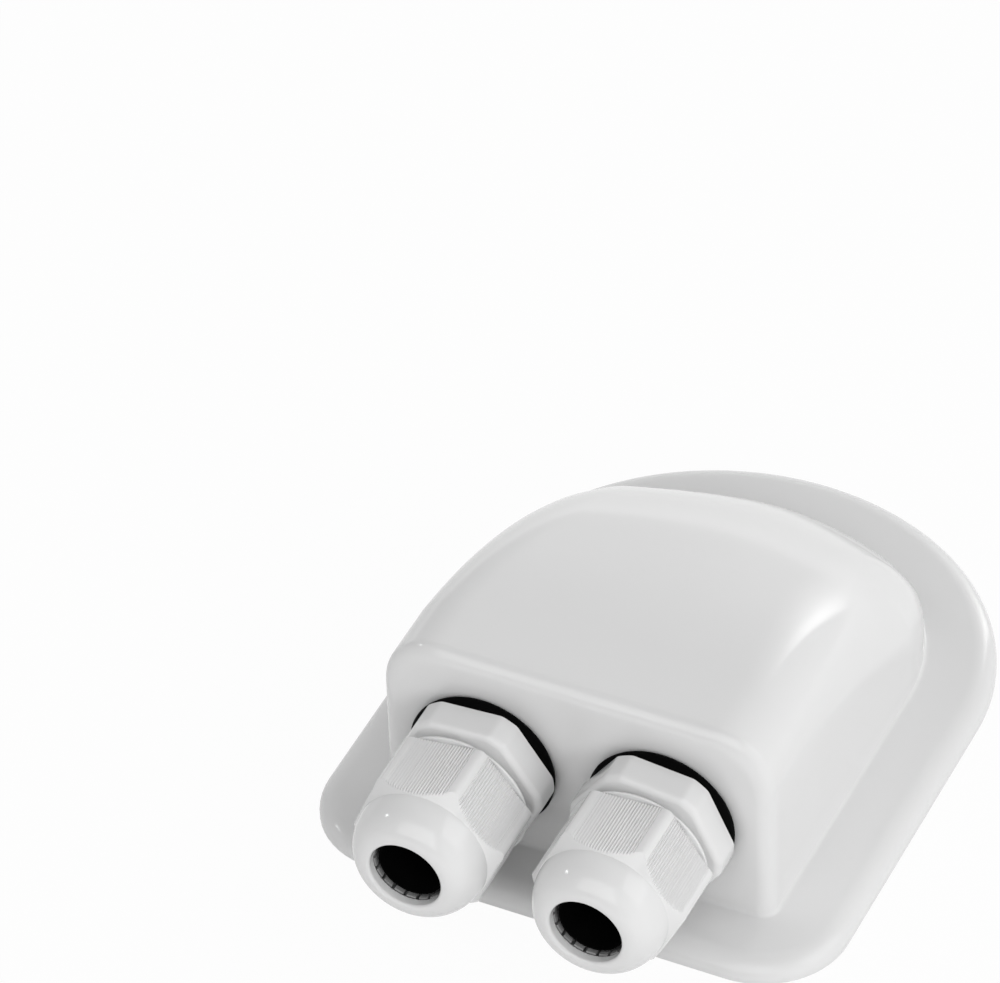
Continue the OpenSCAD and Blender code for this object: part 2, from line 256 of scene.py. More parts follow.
class Shell:
    """Collects grids of points and welds them into one mesh."""

    def __init__(self):
        self.points = []
        self.quads = []
        self.count = 0

    def add(self, grid, closed=False):
        """Adds a grid of shape (rows, columns, 3)."""
        rows, columns = grid.shape[:2]
        self.points.append(grid.reshape(-1, 3))
        self.quads.append(grid_faces(rows, columns, closed) + self.count)
        self.count += rows * columns

    def welded(self):
        """Points that coincide become one. A quad that loses a corner becomes a triangle, and one that
        loses two is dropped."""
        points = np.concatenate(self.points)
        quads = np.concatenate(self.quads)
        _, first, place = np.unique(
            np.round(points / WELD).astype(np.int64), axis=0, return_index=True, return_inverse=True
        )
        quads = place.reshape(-1)[quads]
        same = quads == np.roll(quads, -1, axis=1)
        whole = quads[~same.any(axis=1)]
        whole = whole[(whole[:, 0] != whole[:, 2]) & (whole[:, 1] != whole[:, 3])]
        thin = same.sum(axis=1) == 1
        gap = np.argmax(same[thin], axis=1)
        order = (gap[:, None] + np.array([1, 2, 3])) % 4
        triangles = np.take_along_axis(quads[thin], order, axis=1)
        return points[first], whole, triangles

    def piece(self, name, material):
        """Makes the object: faces point outwards and are smooth, apart from edges past the sharp angle."""
        points, quads, triangles = self.welded()
        loops = np.concatenate([quads.ravel(), triangles.ravel()])
        starts = np.concatenate([
            np.arange(len(quads)) * 4, len(quads) * 4 + np.arange(len(triangles)) * 3
        ])
        mesh = bpy.data.meshes.new(name)
        mesh.vertices.add(len(points))
        mesh.vertices.foreach_set("co", points.astype(np.float32).ravel())
        mesh.loops.add(len(loops))
        mesh.loops.foreach_set("vertex_index", loops.astype(np.int32))
        mesh.polygons.add(len(starts))
        mesh.polygons.foreach_set("loop_start", starts.astype(np.int32))
        mesh.update(calc_edges=True)
        mesh.validate()
        turned = bmesh.new()
        turned.from_mesh(mesh)
        bmesh.ops.recalc_face_normals(turned, faces=turned.faces)
        turned.to_mesh(mesh)
        turned.free()
        mesh.shade_smooth()
        mesh.set_sharp_from_angle(angle=SHARP_ANGLE)
        mesh.materials.append(material)
        return placed(name, mesh)


def settle(piece, node, body):
    """Puts a piece on its body in the place of its node, and hides the node."""
    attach(piece, body)
    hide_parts(node)


def soft_least(first, second, width):
    """The smaller of two values, with the corner between them rounded over a width."""
    near = np.clip(1 - np.abs(first - second) / width, 0, None)
    return np.minimum(first, second) - near ** 2 * width / 4


# Housing

FALL_POWER = 2.18
FALL_ROUND = 1.157
REAR_LEAN = 1.4
CROWN_SHARE = 0.7
CROWN_IN_SHOULDER = 0.8
SHOULDER_HEIGHT_SHARE = 0.95
SHOULDER_WIDTH_SHARE = 0.8
SHOULDER_LEAST = 2 * MM
SHOULDER_BLEND = 3 * MM
CROWN_BLEND = 1.5 * MM
EDGE_LEAST_SHARE = 0.25
FILLET_SHARE = 0.8
NOTHING = 1e-9
PATCH_SHARES = (0.0, 0.04, 0.5, 0.96, 1.0)
CORNER_STEPS = 14
SIDE_STEPS = 60
ARCH_STEPS = 168
FRONT_STEPS = 60
SHOULDER_STEPS = 30
CROWN_STEPS = 18
WALL_STEPS = 5
FILLET_STEPS = 6
RIM_STEPS = 18
CENTRE_STEPS = 24
SUPPORT = 0.35 * MM


class Plan:
    """An outline seen from above: straight front, two round corners, straight sides and an elliptical arch.
    Its points run from the right front corner round the arch to the left one, and then along the front."""

    def __init__(self, half_width, front, corner, arch, arch_length):
        turn = np.linspace(0, np.pi / 2, CORNER_STEPS + 1)
        along = np.linspace(front + corner, arch, SIDE_STEPS + 1)[1:]
        straight = np.linspace(corner - half_width, half_width - corner, FRONT_STEPS + 1)[1:-1]
        self.bow = np.linspace(0, np.pi, ARCH_STEPS + 1)[1:-1]
        self.right_y = np.concatenate([front + corner - corner * np.cos(turn), along])
        corner_x = half_width - corner + corner * np.sin(turn)
        right_x = np.concatenate([corner_x, np.full(SIDE_STEPS, half_width)])
        right = np.column_stack([right_x, self.right_y])
        corner_way = np.column_stack([np.sin(turn), -np.cos(turn)])
        right_way = np.concatenate([corner_way, np.tile([1.0, 0.0], (SIDE_STEPS, 1))])
        arched_way = np.column_stack([np.cos(self.bow), np.sin(self.bow)])
        arched = arched_way * np.array([half_width, arch_length]) + np.array([0.0, arch])
        mirror = np.array([-1.0, 1.0])
        front_line = np.column_stack([straight, np.full(len(straight), front)])
        front_way = np.tile([0.0, -1.0], (len(straight), 1))
        self.u_count = 2 * len(right) + len(self.bow)
        self.base = np.concatenate([right, arched, right[::-1] * mirror, front_line])
        self.way = np.concatenate([right_way, arched_way, right_way[::-1] * mirror, front_way])

    def ring(self, out, height):
        """The outline moved out by a distance, at a height. Both may differ from point to point."""
        flat = self.base + self.way * np.broadcast_to(out, len(self.base))[:, None]
        return np.column_stack([flat, np.broadcast_to(height, len(flat))])


class Hood:
    """The hood's face, or one that lies in from it by a distance. A section across the hood is an upright
    wall, a shoulder arc and a crown that falls off as the square of the distance from the middle. The crest
    is level at first and then falls as (1 - fall ^ p) ^ (1 / q), where fall runs from 0 to 1 at the rear."""

    def __init__(self, sizes, inset):
        self.sizes = sizes
        self.inset = inset
        self.flange = sizes.flange_thickness
        self.front = FRONT_Y + inset
        self.arch = FRONT_Y + sizes.side_length
        self.end = self.arch + sizes.arch_length - REAR_LEAN * inset
        self.half_width = sizes.hood_width / 2 - inset
        self.edge = max(sizes.front_edge - inset, EDGE_LEAST_SHARE * sizes.front_edge)
        self.plan = Plan(self.half_width, self.front, self.edge, self.arch, self.end - self.arch)

    def section(self, y):
        """At places y: half width, height, crown, shoulder radius, and the angle and place where shoulder
        and crown meet."""
        sizes = self.sizes
        start = FRONT_Y + sizes.crest_length
        fall = np.clip((y - start) / (self.end - start), 0, 1)
        left = self.edge - np.clip(y - self.front, 0, self.edge)
        edge = self.edge - np.sqrt(np.clip(self.edge ** 2 - left ** 2, 0, None))
        along = np.clip((y - self.arch) / (self.end - self.arch), 0, 1)
        w = np.maximum(self.half_width * np.sqrt(1 - along ** 2) - edge, NOTHING)
        rise = HOUSING_HIGH.z - self.flange - self.inset
        t = rise * np.clip(1 - fall ** FALL_POWER, 0, None) ** (1 / FALL_ROUND) - edge
        t = np.maximum(t, 0)
        crown = soft_least(sizes.crown_height * fall ** 2, CROWN_SHARE * t, CROWN_BLEND)
        crown = np.maximum(crown, 0)
        wanted = max(sizes.shoulder_radius - self.inset, SHOULDER_LEAST) + sizes.shoulder_gain * fall
        room = SHOULDER_HEIGHT_SHARE * (t - CROWN_IN_SHOULDER * crown)
        r = soft_least(soft_least(wanted, room, SHOULDER_BLEND), SHOULDER_WIDTH_SHARE * w, SHOULDER_BLEND)
        r = np.maximum(r, NOTHING)
        end_a = np.pi / 2 - np.arctan(2 * crown * (w - r) / w ** 2)
        end_x = w - r + r * np.cos(end_a)
        end_z = t - crown * (end_x / w) ** 2
        return w, t, crown, r, end_a, end_x, end_z

    def height(self, x, y):
        """Height of the face over a point: the crown within the shoulders, and the arc outside."""
        w, t, crown, r, end_a, end_x, end_z = self.section(y)
        x = np.minimum(np.abs(x), w)
        over = t - crown * (x / w) ** 2
        across = np.clip((x - (w - r)) / r, -1, 1)
        arc = end_z + r * (np.sqrt(1 - across ** 2) - np.sin(end_a))
        return self.flange + np.maximum(np.where(x <= end_x, over, arc), 0)

    def cap(self):
        """The face above the upright walls: a row runs along the walls' top, and each later one nearer to
        the crest. Side columns lie across the hood, and those of the arch are rays from its centre."""
        w, t, crown, r, end_a, end_x, end_z = self.section(self.plan.right_y)
        step = np.linspace(0, 1, SHOULDER_STEPS + 1)[:, None]
        a = end_a * step
        arc_x = w - r + r * np.cos(a)
        arc_z = end_z + r * (np.sin(a) - np.sin(end_a))
        inner = 1 - np.linspace(0, 1, CROWN_STEPS + 1)[1:, None]
        over_x = end_x * inner
        over_z = t - crown * (over_x / w) ** 2
        x = np.concatenate([arc_x, over_x])
        z = self.flange + np.concatenate([arc_z, over_z])
        y = np.broadcast_to(self.plan.right_y, x.shape)
        right = np.stack([x, y, z], axis=-1)
        ray = (x[:, -1] / self.half_width)[:, None]
        bow_x = ray * self.half_width * np.cos(self.plan.bow)
        bow_y = self.arch + ray * (self.end - self.arch) * np.sin(self.plan.bow)
        arched = np.stack([bow_x, bow_y, self.height(bow_x, bow_y)], axis=-1)
        left = right[:, ::-1] * np.array([-1.0, 1.0, 1.0])
        return np.concatenate([right, arched, left], axis=1)

    def wall(self, top, foot):
        """Upright wall under the cap, from a foot height to the cap's first row."""
        step = np.linspace(0, 1, WALL_STEPS + 1)[:, None]
        z = foot + (top[:, 2] - foot) * step
        flat = np.broadcast_to(top[:, :2], (*z.shape, 2))
        return np.concatenate([flat, z[..., None]], axis=-1)


def front_patch(hood, cap, wall, hole_r):
    """Half of the front wall, as a grid of rays from the round hole out to the wall's edge: the foot line,
    the upright corner, the section over it and the middle line. The grid's first row is the hole."""
    foot = wall[0, 0, 2]
    line = hood.plan.base[hood.plan.u_count:]
    line = line[line[:, 0] > -WELD]
    bottom = np.column_stack([line, np.full(len(line), foot)])
    corner = wall[:, 0]
    over = cap[:, 0]
    crest = over[-1]
    down = np.linspace(crest[2], foot, CENTRE_STEPS + 1)[1:]
    middle = np.column_stack([np.zeros(len(down)), np.full(len(down), hood.front), down])
    edge = np.concatenate([bottom, corner, over[1:], middle])
    centre = np.array([GLAND_X, hood.front, GLAND_Z])
    spoke = edge - centre
    hole = centre + spoke * (hole_r / np.linalg.norm(spoke, axis=1))[:, None]
    out = np.array(PATCH_SHARES)[:, None, None]
    return hole + (edge - hole) * out


def housing_shell(sizes, hole_r):
    """The whole moulding as one closed face: hood, foot fillet, flange, rim, underside and the hollow."""
    shell = Shell()
    outer = Hood(sizes, 0.0)
    inner = Hood(sizes, HOOD_WALL)
    flange_t = sizes.flange_thickness
    cap = outer.cap()
    u_count = outer.plan.u_count
    fillet = np.full(len(outer.plan.base), sizes.foot_fillet)
    wall_h = np.maximum(cap[0, :, 2] - flange_t, 0)
    fillet[:u_count] = np.minimum(sizes.foot_fillet, FILLET_SHARE * wall_h)
    wall = outer.wall(cap[0], flange_t + fillet[:u_count])
    shell.add(cap)
    shell.add(wall)

    rim_l = sizes.arch_length + (HOUSING_HIGH.y - outer.end)
    flange = Plan(HOUSING_HIGH.x, HOUSING_LOW.y, sizes.flange_corner, outer.arch, rim_l)
    rise = flange_t - sizes.rim_foot
    rings = [
        outer.plan.ring(fillet * (1 - math.cos(a)), flange_t + fillet * (1 - math.sin(a)))
        for a in np.linspace(0, math.pi / 2, FILLET_STEPS + 1)
    ]
    rings += [
        outer.plan.ring(fillet + SUPPORT, flange_t),
        flange.ring(-sizes.rim_width - SUPPORT, flange_t),
    ]
    rings += [
        flange.ring(-sizes.rim_width * (1 - math.cos(a)), sizes.rim_foot + rise * math.sin(a))
        for a in np.linspace(math.pi / 2, 0, RIM_STEPS + 1)
    ]
    rings += [
        flange.ring(0.0, 0.0),
        flange.ring(-SUPPORT, 0.0),
        inner.plan.ring(SUPPORT, 0.0),
        inner.plan.ring(0.0, 0.0),
    ]
    shell.add(np.stack(rings), closed=True)

    hollow = inner.cap()
    hollow_wall = inner.wall(hollow[0], np.zeros(u_count))
    shell.add(hollow)
    shell.add(hollow_wall)
    for mirror in SIDES.values():
        flip = np.array([mirror, 1.0, 1.0])
        outside = front_patch(outer, cap, wall, hole_r) * flip
        inside = front_patch(inner, hollow, hollow_wall, hole_r) * flip
        shell.add(outside, closed=True)
        shell.add(inside, closed=True)
        shell.add(np.stack([outside[0], inside[0]]), closed=True)
    return shell


# Gland pieces

TURN_STEPS = 300
NUT_STEPS = 1080
THREAD_STEPS = 9
EDGE_STEPS = 6
DOME_STEPS = 30
BEVEL_STEPS = 26
FINGER_STEPS = 6
BULGE_STEPS = 18
HEX_EDGE_STEPS = 10
COLLAR_STEPS = 5
NUT_EDGE_STEPS = 4
SHARP_STEPS = 3
FLAT_RINGS = 5
FLAT_MARGIN = 1 * MM
SMALL_EDGE = 0.25 * MM
COLLAR_EDGE = 0.22 * MM
SHARP_EDGE = 0.12 * MM
TIP_EDGE = 0.2 * MM
SEAL_EDGE = 0.3 * MM
LOCKNUT_EDGE = 0.6 * MM
SOFT_CORNER = 0.2 * MM
RIB_BLEND = 0.12 * MM
RIB_FADE_SHARE = 0.25
LIP_EDGE_SHARE = 1 / 3
TIP_LEAN_SHARE = 1 / 3
SOCKET_ROOM = 0.06 * MM
SHANK_ROOM = 0.05 * MM
TAPER_ROOM = 0.4 * MM
THREAD_POWER = 0.8


def around(count):
    """Angles once round a gland's axis, from +X towards +Z."""
    return np.arange(count) * 2 * np.pi / count


def on_axis(side, angles, rings):
    """Points of rings round a gland's axis. A ring is a station, measured outwards from the wall, and a
    radius, which may differ from angle to angle."""
    place = np.array([np.broadcast_to(station, len(angles)) for station, _ in rings])
    radius = np.array([np.broadcast_to(r, len(angles)) for _, r in rings])
    x = side * GLAND_X + radius * np.cos(angles)
    z = GLAND_Z + radius * np.sin(angles)
    return np.stack([x, FRONT_Y - place, z], axis=-1)


def from_flat(angles, flat_at):
    """The angle from the middle of a hexagon's nearest flat, where one flat's middle is given."""
    return (angles - flat_at + np.pi / 6) % (np.pi / 3) - np.pi / 6


def hexagon(angles, width, corner, flat_at):
    """Radius of a hexagon at each angle: half its width over the cosine of the angle from the nearest flat's
    middle, trimmed softly by a corner radius."""
    return soft_least(width / 2 / np.cos(from_flat(angles, flat_at)), corner, SOFT_CORNER)


def thread(angles, start, end, crest, depth, pitch):
    """Rings of a right-hand thread: the radius dips once in each pitch along the axis, as a power of a
    raised cosine, and the dip runs round with the angle. The grooves fade in over a pitch at both ends."""
    count = int((end - start) / pitch * THREAD_STEPS)
    rings = []
    for station in np.linspace(start, end, count + 1):
        phase = 2 * np.pi * station / pitch - angles
        fade = min(1.0, (station - start) / pitch, (end - station) / pitch)
        wave = 0.5 - 0.5 * np.cos(phase)
        rings.append((station, crest - depth * fade * wave ** THREAD_POWER))
    return rings


def rounded(station, radius, size, toward, first, steps=EDGE_STEPS):
    """Rings of a round edge where a side and an end face meet. toward is 1 where the end face lies further
    out along the axis, and first says whether the rings start on the side or on the face."""
    sweep = np.linspace(0, math.pi / 2, steps + 1)
    rings = [
        (station - toward * size * (1 - math.sin(a)), radius - size * (1 - math.cos(a)))
        for a in sweep
    ]
    return rings if first == "side" else rings[::-1]


def gland_body_rings(scene, angles, name):
    """Section of a gland body: threaded shank, hexagon with a soft front edge, threaded neck, socket and
    passage."""
    sizes = scene.entry_gland
    hex_start = GASKET_T
    hex_end = GASKET_T + sizes.hex_length
    flat_at = getattr(sizes, f"{name}_turn") + math.pi / 6
    hexed = hexagon(angles, sizes.hex_width, sizes.hex_corner, flat_at)
    socket_start = SKIRT_START - SOCKET_ROOM
    rings = [(SHANK_END, sizes.passage_radius)]
    rings += rounded(SHANK_END, sizes.shank_radius - sizes.thread_depth, SMALL_EDGE, -1, "face")
    rings += thread(
        angles, SHANK_END + SMALL_EDGE, hex_start - SMALL_EDGE, sizes.shank_radius,
        sizes.thread_depth, sizes.thread_pitch,
    )
    rings += [(hex_start, sizes.shank_radius)]
    rings += rounded(hex_start, hexed, SHARP_EDGE, -1, "face", SHARP_STEPS)
    rings += rounded(hex_end, hexed, sizes.hex_edge, 1, "side", HEX_EDGE_STEPS)
    rings += [(hex_end, sizes.neck_radius + 2 * SMALL_EDGE), (hex_end + SMALL_EDGE, sizes.neck_radius)]
    rings += thread(
        angles, hex_end + 2 * SMALL_EDGE, THREAD_END - SMALL_EDGE, sizes.neck_radius,
        sizes.thread_depth, sizes.thread_pitch,
    )
    rings += [
        (THREAD_END, sizes.neck_radius - SMALL_EDGE),
        (THREAD_END, sizes.socket_radius),
        (socket_start, sizes.socket_radius),
        (socket_start, sizes.passage_radius),
    ]
    return rings


def ribbed_hexagon(sizes, angles, flat_at):
    """Radius of the nut's hexagon at each angle. A row of ribs on the middle of every flat dips as a raised
    cosine of the distance along the flat, and fades in at its ends."""
    off = from_flat(angles, flat_at)
    across = sizes.width / 2 * np.tan(off)
    half_row = sizes.rib_count * sizes.rib_pitch / 2
    inside = np.clip((half_row - np.abs(across)) / (RIB_FADE_SHARE * sizes.rib_pitch), 0, 1)
    valley = 0.5 + 0.5 * np.cos(2 * np.pi * (across + half_row) / sizes.rib_pitch)
    flat = sizes.width / 2 - sizes.rib_height * inside * valley
    return soft_least(flat / np.cos(off), sizes.corner, SOFT_CORNER)


def dome_nut_rings(scene, angles, name):
    """Section of a dome nut: collar, groove, ribbed hexagon cut by a bevel, dome, lip, throat and bore."""
    sizes = scene.entry_nut
    flat_at = getattr(sizes, f"{name}_turn") + math.pi / 2
    ribbed = ribbed_hexagon(sizes, angles, flat_at)
    collar_end = NUT_START + sizes.collar_length
    hex_start = collar_end + sizes.groove_length
    dome_start = NUT_END - sizes.dome_length
    bevel_start = dome_start - sizes.bevel_length
    lip_edge = LIP_EDGE_SHARE * sizes.lip
    nose_r = sizes.mouth_radius + lip_edge
    lip_start = NUT_END - sizes.lip
    taper_start = THREAD_END + TAPER_ROOM
    rings = [(NUT_START, sizes.bore_radius)]
    rings += rounded(NUT_START, sizes.collar_radius, COLLAR_EDGE, -1, "face", COLLAR_STEPS)
    rings += rounded(collar_end, sizes.collar_radius, COLLAR_EDGE, 1, "side", COLLAR_STEPS)
    rings += [(collar_end, sizes.groove_radius), (hex_start, sizes.groove_radius)]
    rings += rounded(hex_start, ribbed, SHARP_EDGE, -1, "face", NUT_EDGE_STEPS)
    flat = np.linspace(hex_start + FLAT_MARGIN, bevel_start - FLAT_MARGIN, FLAT_RINGS)
    rings += [(station, ribbed) for station in flat]
    for station in np.linspace(bevel_start - FLAT_MARGIN / 2, dome_start, BEVEL_STEPS):
        along = (station - bevel_start) / sizes.bevel_length
        bevel = sizes.corner + (sizes.dome_radius - sizes.corner) * along
        rings.append((station, soft_least(ribbed, bevel, RIB_BLEND)))
    for a in np.linspace(0, math.pi / 2, DOME_STEPS + 1)[1:]:
        rings.append((
            dome_start + sizes.dome_length * math.sin(a),
            nose_r + (sizes.dome_radius - nose_r) * math.cos(a),
        ))
    for a in np.linspace(0, math.pi / 2, EDGE_STEPS + 1)[1:]:
        rings.append((NUT_END - lip_edge * (1 - math.cos(a)), nose_r - lip_edge * math.sin(a)))
    rings += [
        (lip_start, sizes.mouth_radius),
        (lip_start, sizes.throat_radius),
        (taper_start, sizes.bore_radius),
    ]
    return rings


def claw_shell(sizes, nut, side):
    """A claw: its section goes once round the axis. In a slot the part that makes a finger is drawn back to
    the finger's root, and a doubled column at each edge of the slot makes the finger's side."""
    tip_r = nut.mouth_radius + sizes.finger_wall
    inner_r = sizes.skirt_radius - sizes.skirt_wall
    slot_start = THREAD_END + sizes.root_length
    share_up = sizes.root_length / (FINGER_END - THREAD_END)
    slot_inner = inner_r + (nut.mouth_radius - inner_r) * share_up
    ring_part = [
        (slot_start, slot_inner),
        (THREAD_END, inner_r),
        (SKIRT_START + TIP_EDGE, inner_r),
        (SKIRT_START, inner_r + TIP_EDGE),
        (SKIRT_START, sizes.skirt_radius - TIP_EDGE),
        (SKIRT_START + TIP_EDGE, sizes.skirt_radius),
        (THREAD_END, sizes.skirt_radius),
        (THREAD_END, sizes.root_radius),
        (slot_start, sizes.root_radius),
    ]
    finger = [
        (FINGER_END - TIP_EDGE, tip_r + TIP_LEAN_SHARE * TIP_EDGE),
        (FINGER_END, tip_r - TIP_EDGE),
        (FINGER_END, nut.mouth_radius + TIP_EDGE),
        (FINGER_END - TIP_EDGE, nut.mouth_radius),
    ]
    back = np.linspace(sizes.root_radius, slot_inner, len(finger) + 2)[1:-1]
    whole = np.array([*ring_part, *finger, ring_part[0]])
    cut = np.array([*ring_part, *[(slot_start, r) for r in back], ring_part[0]])
    pitch = 2 * np.pi / sizes.finger_count
    half_slot = sizes.slot_width / 2 / nut.mouth_radius
    blade = np.linspace(half_slot, pitch - half_slot, FINGER_STEPS + 1)
    slot = np.array([pitch - half_slot, pitch, pitch + half_slot])
    starts = np.arange(sizes.finger_count) * pitch
    angles = (starts[:, None] + np.concatenate([blade, slot])).ravel()
    is_blade = np.tile([True] * len(blade) + [False] * len(slot), sizes.finger_count)
    section = np.where(is_blade[None, :, None], whole[:, None, :], cut[:, None, :])
    shell = Shell()
    shell.add(on_axis(side, angles, [(row[:, 0], row[:, 1]) for row in section]), closed=True)
    return shell


def seal_rings(scene, *_):
    """Section of a seal: a sleeve in the skirt that narrows where the fingers close on it, with a long bevel
    at its outer end."""
    sizes = scene.entry_clamp
    outer_r = sizes.skirt_radius - sizes.skirt_wall - sizes.seal_room
    tip_r = scene.entry_nut.mouth_radius - sizes.seal_room
    rings = [(SEAL_START, sizes.seal_bore + SEAL_EDGE)]
    rings += rounded(SEAL_START, outer_r, SEAL_EDGE, -1, "face", SHARP_STEPS)
    rings += [(THREAD_END - sizes.seal_room, outer_r)]
    bevel_share = sizes.seal_bevel / (SEAL_END - THREAD_END)
    rings += [
        (SEAL_END - sizes.seal_bevel, tip_r + (outer_r - tip_r) * bevel_share),
        (SEAL_END, sizes.seal_bore + SEAL_EDGE / 2),
        (SEAL_END - SEAL_EDGE / 2, sizes.seal_bore),
        (SEAL_START + SEAL_EDGE, sizes.seal_bore),
    ]
    return rings


def gasket_rings(scene, *_):
    """Section of a gasket: a flat washer whose outer edge bulges in a half circle."""
    hole_r = scene.entry_gland.shank_radius + SHANK_ROOM
    edge_r = GASKET_T / 2
    rings = [(0.0, hole_r)]
    for a in np.linspace(-math.pi / 2, math.pi / 2, BULGE_STEPS + 1):
        rings.append((edge_r + edge_r * math.sin(a), GASKET_R - edge_r + edge_r * math.cos(a)))
    return [*rings, (GASKET_T, hole_r)]


def locknut_rings(scene, angles, *_):
    """Section of a locknut: a hexagon whose corners are softened at both ends, with a bevelled bore."""
    sizes = scene.entry_gland
    hole_r = sizes.shank_radius + SHANK_ROOM
    corner = sizes.locknut_width / 2 / math.cos(math.pi / 6) - SMALL_EDGE
    hexed = hexagon(angles, sizes.locknut_width, corner, math.pi / 6)
    rings = [(LOCKNUT_START + SMALL_EDGE, hole_r), (LOCKNUT_START, hole_r + SMALL_EDGE)]
    rings += rounded(LOCKNUT_START, hexed, LOCKNUT_EDGE, -1, "face")
    rings += rounded(LOCKNUT_END, hexed, SMALL_EDGE, 1, "side")
    return [*rings, (LOCKNUT_END, hole_r)]


# Finishes

# Name: colour and roughness among the settings, refractive index, size of the clouds and how much they
# darken, size and depth of the grain
MOULDINGS = {
    "white_abs_gloss": ("abs_colour", "abs_gloss", 1.5, 26 * MM, 0.025, 0.55 * MM, 0.002 * MM),
    "white_nylon_satin": ("nylon_colour", "nylon_gloss", 1.52, 9 * MM, 0.035, 0.22 * MM, 0.001 * MM),
    "white_nylon_gloss": ("nylon_colour", "dome_gloss", 1.52, 9 * MM, 0.035, 0.22 * MM, 0.001 * MM),
    # The claws' grey finish is painted shade for the inside of the mouth, not the nylon's own colour.
    "grey_nylon_satin": ("claw_colour", "nylon_gloss", 1.52, 5 * MM, 0.06, 0.22 * MM, 0.002 * MM),
}
CLOUD_DETAIL = 3.0
GRAIN_DETAIL = 2.0
GRAIN_MIX = 0.6
CLOUD_ON_GLOSS = 0.06
GRAIN_ON_GLOSS = 0.04
BLOOM_SCALE = 220.0
BLOOM_DETAIL = 4.0
BLOOM_PALE = 2.2
BLOOM_ON_GLOSS = 0.2
RUBBER_GRAIN_SCALE = 2600.0
RUBBER_GRAIN_DEPTH = 0.012 * MM
RUBBER_SHINE = 0.02


class Value:
    """A socket in a node tree. Arithmetic on it adds Math nodes."""

    def __init__(self, nodes, socket):
        self.nodes = nodes
        self.socket = socket

    def math(self, operation, *terms):
        """The result of a Math node on the terms."""
        return self.nodes.add("ShaderNodeMath", {"operation": operation}, dict(enumerate(terms)))["Value"]

    def __add__(self, other):
        return self.math("ADD", self, other)

    def __sub__(self, other):
        return self.math("SUBTRACT", self, other)

    def __rsub__(self, other):
        return self.math("SUBTRACT", other, self)

    def __mul__(self, other):
        return self.math("MULTIPLY", self, other)

    def most(self, other):
        """The larger of two values."""
        return self.math("MAXIMUM", self, other)

    def least(self, other):
        """The smaller of two values."""
        return self.math("MINIMUM", self, other)

    def below(self, other):
        """1 where the value is the smaller one, and 0 elsewhere."""
        return self.math("LESS_THAN", self, other)

    def above(self, other):
        """1 where the value is the larger one, and 0 elsewhere."""
        return self.math("GREATER_THAN", self, other)

    def power_of_e(self):
        """e to the power of the value."""
        return self.math("EXPONENT", self)

    __radd__ = __add__
    __rmul__ = __mul__


class Nodes:
    """The node tree of a material or a world."""

    def __init__(self, owner):
        owner.use_nodes = True
        self.tree = owner.node_tree
        self.tree.nodes.clear()

    def add(self, kind, settings=None, inputs=None):
        """Adds a node: its settings are set first, then the values or links of its sockets. Gives its
        outputs by name."""
        node = self.tree.nodes.new(kind)
        for key, setting in (settings or {}).items():
            setattr(node, key, setting)
        for key, given in (inputs or {}).items():
            if isinstance(given, Value):
                self.tree.links.new(given.socket, node.inputs[key])
            else:
                node.inputs[key].default_value = given
        return {socket.name: Value(self, socket) for socket in node.outputs if socket.enabled}

    def noise(self, place, scale, detail, roughness=0.5):
        """Noise from about 0 to 1, with features of about one over scale metres."""
        return self.add("ShaderNodeTexNoise", None, {
            "Vector": place, "Scale": scale, "Detail": detail, "Roughness": roughness,
        })["Fac"]

    def blend(self, mask, first, second):
        """A colour from first to second as the mask goes from 0 to 1."""
        return self.add(
            "ShaderNodeMix", {"data_type": "RGBA"}, {0: mask, 6: (*first, 1.0), 7: (*second, 1.0)}
        )["Result"]

    def mix(self, mask, first, second):
        """A shader from first to second as the mask goes from 0 to 1."""
        return self.add("ShaderNodeMixShader", None, {0: mask, 1: first, 2: second})["Shader"]

    def skin(self, tint, grain, depth, sockets):
        """The material's surface, with a tint, bumps from the grain and what else its sockets get."""
        bump = self.add("ShaderNodeBump", None, {"Strength": 1.0, "Distance": depth, "Height": grain})
        sockets = {"Base Color": tint, "Normal": bump["Normal"], **sockets}
        surface = self.add("ShaderNodeBsdfPrincipled", None, sockets)["BSDF"]
        self.add("ShaderNodeOutputMaterial", None, {"Surface": surface})


def moulding(name, tint, roughness, ior, cloud_size, shade, grain_size, grain_depth):
    """Moulded plastic: cloudy shade, a fine grain in the skin and gloss that varies with both."""
    material = bpy.data.materials.new(name)
    nodes = Nodes(material)
    place = nodes.add("ShaderNodeTexCoord")["Object"]
    cloud = nodes.noise(place, 1 / cloud_size, CLOUD_DETAIL)
    grain = nodes.noise(place, 1 / grain_size, GRAIN_DETAIL, GRAIN_MIX)
    dull = tuple(part * (1 - shade) for part in tint)
    nodes.skin(nodes.blend(cloud, dull, tint), grain, grain_depth, {
        "Roughness": roughness + CLOUD_ON_GLOSS * (cloud - 0.5) + GRAIN_ON_GLOSS * (grain - 0.5),
        "IOR": ior,
    })
    return material


def rubber(name, tint, roughness):
    """Black rubber: a matt skin with a fine grain and a faint bloom."""
    material = bpy.data.materials.new(name)
    nodes = Nodes(material)
    place = nodes.add("ShaderNodeTexCoord")["Object"]
    bloom = nodes.noise(place, BLOOM_SCALE, BLOOM_DETAIL)
    grain = nodes.noise(place, RUBBER_GRAIN_SCALE, GRAIN_DETAIL)
    pale = tuple(part * BLOOM_PALE for part in tint)
    nodes.skin(nodes.blend(bloom, tint, pale), grain, RUBBER_GRAIN_DEPTH, {
        "Roughness": roughness + BLOOM_ON_GLOSS * (bloom - 0.5),
        "Specular IOR Level": RUBBER_SHINE,
    })
    return material


